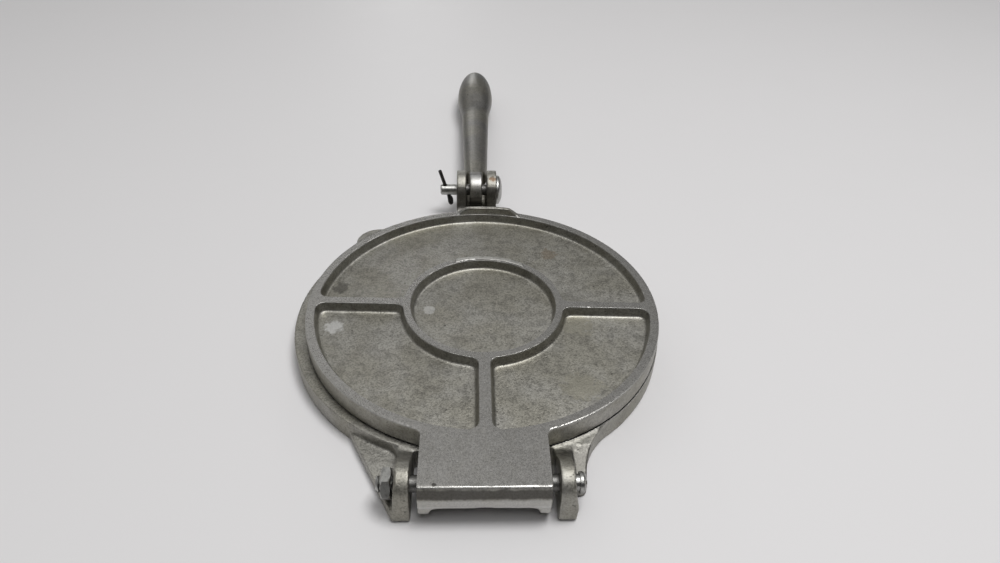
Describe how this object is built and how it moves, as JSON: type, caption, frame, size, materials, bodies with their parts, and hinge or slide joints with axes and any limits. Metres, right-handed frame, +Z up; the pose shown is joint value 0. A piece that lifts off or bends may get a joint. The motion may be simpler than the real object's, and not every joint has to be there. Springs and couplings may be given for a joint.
{
  "type": "tortilla press",
  "caption": "Cast hand press of two hinged round plates with ribbed pockets, closed by a bulb-handled lever pinned in a rear fork.",
  "frame": {"origin": "on the table under the middle of the press as it lies closed with its lever back; X is at the base disc's centre", "axes": "+Y from the hinge towards the lever's grip, +Z up, +X to the right seen from the hinge"},
  "size_m": [0.173, 0.4071, 0.0294],
  "materials": {
    "cast_aluminium": "as-cast, with sanded ribs, rim and hinge block",
    "lever_aluminium": "as-cast, tumbled smooth",
    "plated_steel": "dull plated",
    "blackened_wire": "matt black"
  },
  "bodies": {
    "base": {"base_plate": "cast_aluminium", "hinge_bolt": "plated_steel", "hinge_nut": "plated_steel", "lever_pin": "plated_steel", "cotter_pin": "blackened_wire"},
    "lid": {"lid_plate": "cast_aluminium"},
    "lever": {"lever": "lever_aluminium"}
  },
  "joints": [
    {"name": "lid_hinge", "type": "hinge", "parent": "base", "child": "lid", "pos_m": [0.002, -0.19422, 0.0125], "axis": [1, 0, 0], "range_deg": [0, 180]},
    {"name": "lever_swing", "type": "hinge", "parent": "base", "child": "lever", "pos_m": [-0.0006, 0.01588, 0.0165], "axis": [1, 0, 0], "range_deg": [0, 155]}
  ]
}
